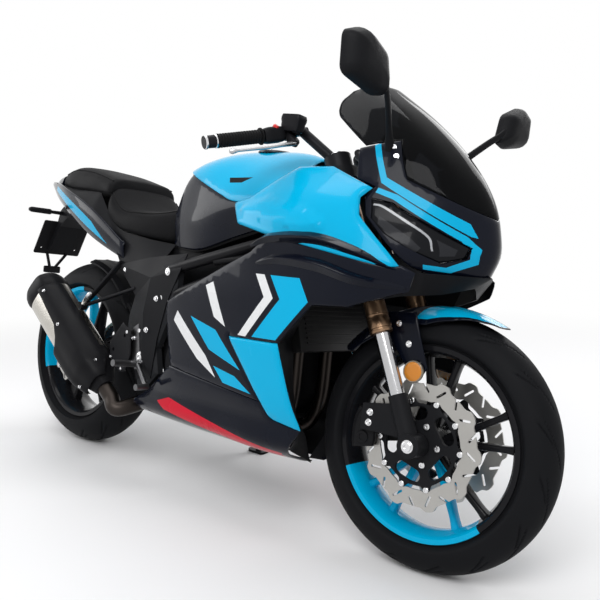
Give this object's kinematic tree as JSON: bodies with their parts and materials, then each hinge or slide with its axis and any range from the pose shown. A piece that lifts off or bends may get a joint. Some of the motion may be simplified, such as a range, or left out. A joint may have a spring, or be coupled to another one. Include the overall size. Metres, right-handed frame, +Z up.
{
  "type": "sport motorcycle",
  "caption": "Fully faired sport motorcycle parked on its side stand, with spoked cast wheels, disc brakes, upside-down fork, raised tail and upswept silencer.",
  "frame": {"origin": "on the road, under the middle of the leaning bike's bounding box", "axes": "+X towards the front wheel along the bike's length, +Y to the rider's left, +Z up"},
  "size_m": [2.0176, 0.8174, 1.2076],
  "materials": {
    "tyre_rubber": "matte, fine grooves",
    "rim_black": "satin black with a blue painted sector",
    "disc_steel": "ground, with dark carriers",
    "bronze_anodised": "satin bronze",
    "chrome_tube": "polished",
    "dark_casting": "dark grey, satin",
    "bright_steel": "bare steel",
    "black_plastic": "fine grain",
    "grip_rubber": "matte",
    "bar_metal": "black with silver ends",
    "gloss_black": "clear-coated",
    "blue_paint": "clear-coated cyan blue",
    "smoked_screen": "dark tint",
    "lamp_lens": "clear over a dark recess",
    "mirror_glass": "mirror",
    "seat_vinyl": "grained",
    "amber_lens": "moulded",
    "silencer_steel": "dark brushed steel with a black end cap",
    "cap_alloy": "black anodised"
  },
  "bodies": {
    "chassis": {"steering_head": "dark_casting", "trellis_left": "dark_casting", "trellis_right": "dark_casting", "pivot_plates": "dark_casting", "swingarm_bolts": "bright_steel", "swingarm": "dark_casting", "shock": "bright_steel", "hugger": "black_plastic", "rear_caliper": "dark_casting", "engine": "dark_casting", "radiator": "black_plastic", "exhaust_pipes": "bright_steel", "silencer": "silencer_steel", "heat_shield": "black_plastic", "chain": "bright_steel", "side_panel_left": "blue_paint", "side_panel_right": "blue_paint", "mid_fairing_left": "gloss_black", "mid_fairing_right": "gloss_black", "lower_fairing_left": "gloss_black", "lower_fairing_right": "gloss_black", "front_blades": "blue_paint", "upper_cowl": "gloss_black", "screen": "smoked_screen", "headlamps": "lamp_lens", "fairing_stay": "dark_casting", "dash": "black_plastic", "mirrors": "gloss_black", "mirror_glasses": "mirror_glass", "tank": "blue_paint", "knee_cover": "black_plastic", "saddle": "seat_vinyl", "pillion": "seat_vinyl", "subframe": "dark_casting", "undertray": "black_plastic", "hanger": "black_plastic", "tail_cowls": "gloss_black", "rear_lamps": "amber_lens", "plate_holder": "black_plastic", "footrests": "dark_casting"},
    "steering": {"yokes": "dark_casting", "fork_outers": "bronze_anodised", "fork_sliders": "chrome_tube", "axle_carriers": "dark_casting", "front_calipers": "dark_casting", "front_mudguard": "gloss_black", "fork_reflectors": "amber_lens", "handlebars": "bar_metal", "grips": "grip_rubber", "bar_controls": "black_plastic"},
    "front_wheel": {"front_tyre": "tyre_rubber", "front_rim": "rim_black", "front_discs": "disc_steel"},
    "rear_wheel": {"rear_tyre": "tyre_rubber", "rear_rim": "rim_black", "rear_disc": "disc_steel", "rear_sprocket": "bright_steel"},
    "side_stand": {"side_stand": "dark_casting"},
    "filler_lid": {"filler_lid": "cap_alloy"}
  },
  "joints": [
    {"name": "steering_turn", "type": "hinge", "parent": "chassis", "child": "steering", "pos_m": [0.67798, -0.1318, 0.28032], "axis": [-0.4139, 0.1502, 0.8979], "range_deg": [-32, 22]},
    {"name": "front_wheel_spin", "type": "hinge", "parent": "steering", "child": "front_wheel", "pos_m": [0.70972, -0.1264, 0.29405], "axis": [-0.0795, 0.9766, -0.2], "continuous": true},
    {"name": "rear_wheel_spin", "type": "hinge", "parent": "chassis", "child": "rear_wheel", "pos_m": [-0.69014, -0.12742, 0.30772], "axis": [-0.0002, 0.9863, -0.165], "continuous": true},
    {"name": "side_stand_fold", "type": "hinge", "parent": "chassis", "child": "side_stand", "pos_m": [-0.1669, 0.06763, 0.28011], "axis": [0.1295, 0.9396, 0.3168], "range_deg": [0, 106]},
    {"name": "filler_lid_open", "type": "hinge", "parent": "chassis", "child": "filler_lid", "pos_m": [0.06546, -0.01667, 0.96883], "axis": [0.0002, -0.9863, 0.165], "range_deg": [0, 100]}
  ]
}
